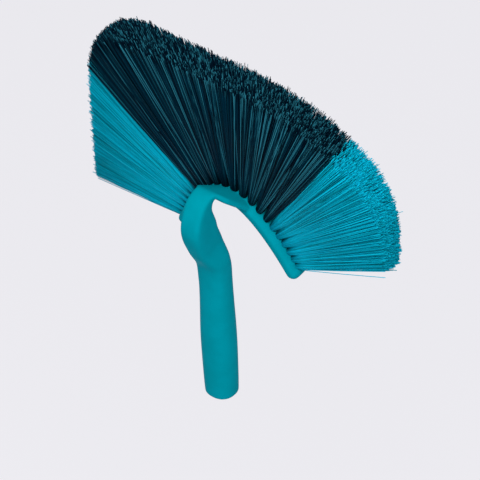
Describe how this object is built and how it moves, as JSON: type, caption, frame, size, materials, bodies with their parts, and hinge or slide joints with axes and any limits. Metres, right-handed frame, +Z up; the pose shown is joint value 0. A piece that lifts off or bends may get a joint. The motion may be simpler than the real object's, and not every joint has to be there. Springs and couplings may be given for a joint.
{
  "type": "indoor broom",
  "caption": "Hand broom: a moulded grip rises through a gooseneck into an arch that carries a wide fan of bristle tufts held by flat anchors; the open grip end takes a pole.",
  "frame": {"origin": "middle of the grip's open lower end, where a pole goes in", "axes": "+Z up the grip towards the arch, -Y to the front, where the neck stands, +X to the right seen from the front"},
  "size_m": [0.3662, 0.1167, 0.3971],
  "materials": {
    "moulding": "satin moulded plastic, teal",
    "teal_fibre": "fine plastic fibres with split tips, teal",
    "petrol_fibre": "fine plastic fibres with split tips, dark petrol",
    "anchor_steel": "plain steel strip"
  },
  "bodies": {
    "root": {"broom_body": "moulding", "left_bristles": "teal_fibre", "crown_left_bristles": "petrol_fibre", "crown_right_bristles": "petrol_fibre", "right_bristles": "teal_fibre", "front_anchor_01": "anchor_steel", "front_anchor_02": "anchor_steel", "front_anchor_03": "anchor_steel", "front_anchor_04": "anchor_steel", "front_anchor_05": "anchor_steel", "front_anchor_06": "anchor_steel", "front_anchor_07": "anchor_steel", "front_anchor_08": "anchor_steel", "front_anchor_09": "anchor_steel", "front_anchor_10": "anchor_steel", "front_anchor_11": "anchor_steel", "front_anchor_12": "anchor_steel", "front_anchor_13": "anchor_steel", "front_anchor_14": "anchor_steel", "front_anchor_15": "anchor_steel", "front_anchor_16": "anchor_steel", "front_anchor_17": "anchor_steel", "front_anchor_18": "anchor_steel", "front_anchor_19": "anchor_steel", "front_anchor_20": "anchor_steel", "front_anchor_21": "anchor_steel", "front_anchor_22": "anchor_steel", "back_anchor_01": "anchor_steel", "back_anchor_02": "anchor_steel", "back_anchor_03": "anchor_steel", "back_anchor_04": "anchor_steel", "back_anchor_05": "anchor_steel", "back_anchor_06": "anchor_steel", "back_anchor_07": "anchor_steel", "back_anchor_08": "anchor_steel", "back_anchor_09": "anchor_steel", "back_anchor_10": "anchor_steel", "back_anchor_11": "anchor_steel", "back_anchor_12": "anchor_steel", "back_anchor_13": "anchor_steel", "back_anchor_14": "anchor_steel", "back_anchor_15": "anchor_steel", "back_anchor_16": "anchor_steel", "back_anchor_17": "anchor_steel", "back_anchor_18": "anchor_steel", "back_anchor_19": "anchor_steel", "back_anchor_20": "anchor_steel", "back_anchor_21": "anchor_steel", "back_anchor_22": "anchor_steel"}
  },
  "joints": []
}
